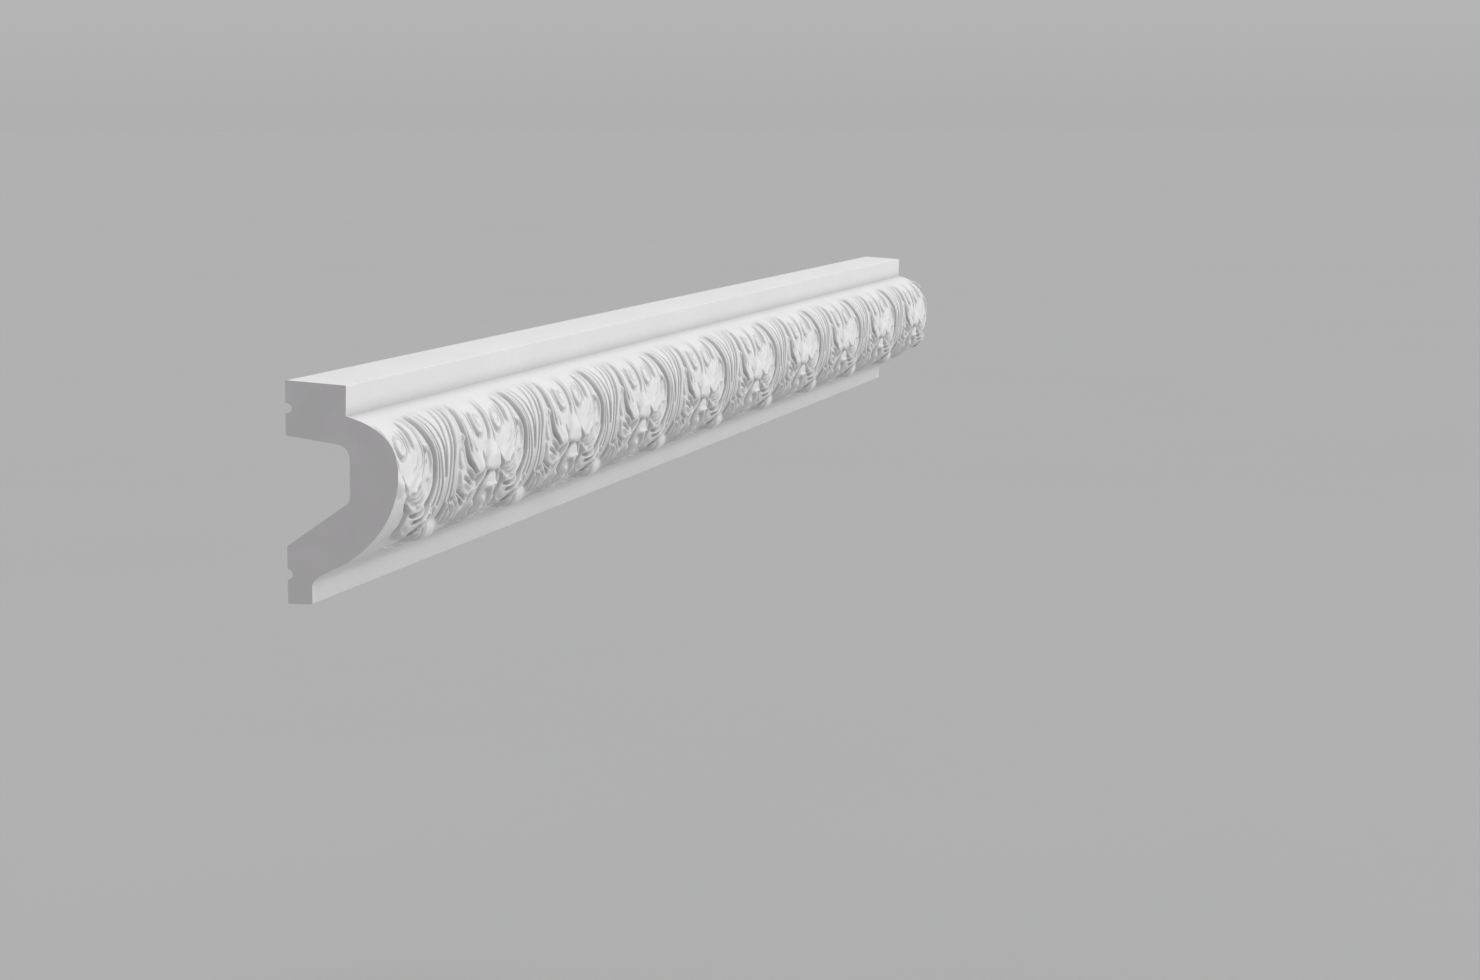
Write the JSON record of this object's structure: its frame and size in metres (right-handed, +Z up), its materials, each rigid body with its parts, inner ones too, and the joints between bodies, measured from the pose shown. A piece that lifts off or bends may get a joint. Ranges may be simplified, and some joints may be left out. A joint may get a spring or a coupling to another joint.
{
  "type": "plaster frieze moulding",
  "caption": "Hollow-backed plaster frieze moulding with a repeating ornament of masks, scrolls, curling leaves and reed sheaves, fixed flat to a wall.",
  "frame": {"origin": "on the flat back's upper land, at the middle of the length", "axes": "+X along the moulding, +Y out of the flat back towards the wall, +Z up; the carved face looks along -Y"},
  "size_m": [1.5, 0.0545, 0.102],
  "materials": {
    "plaster": "matt white plaster, grey and faintly porous where it is cut"
  },
  "bodies": {
    "root": {"frieze_moulding": "plaster"}
  },
  "joints": []
}
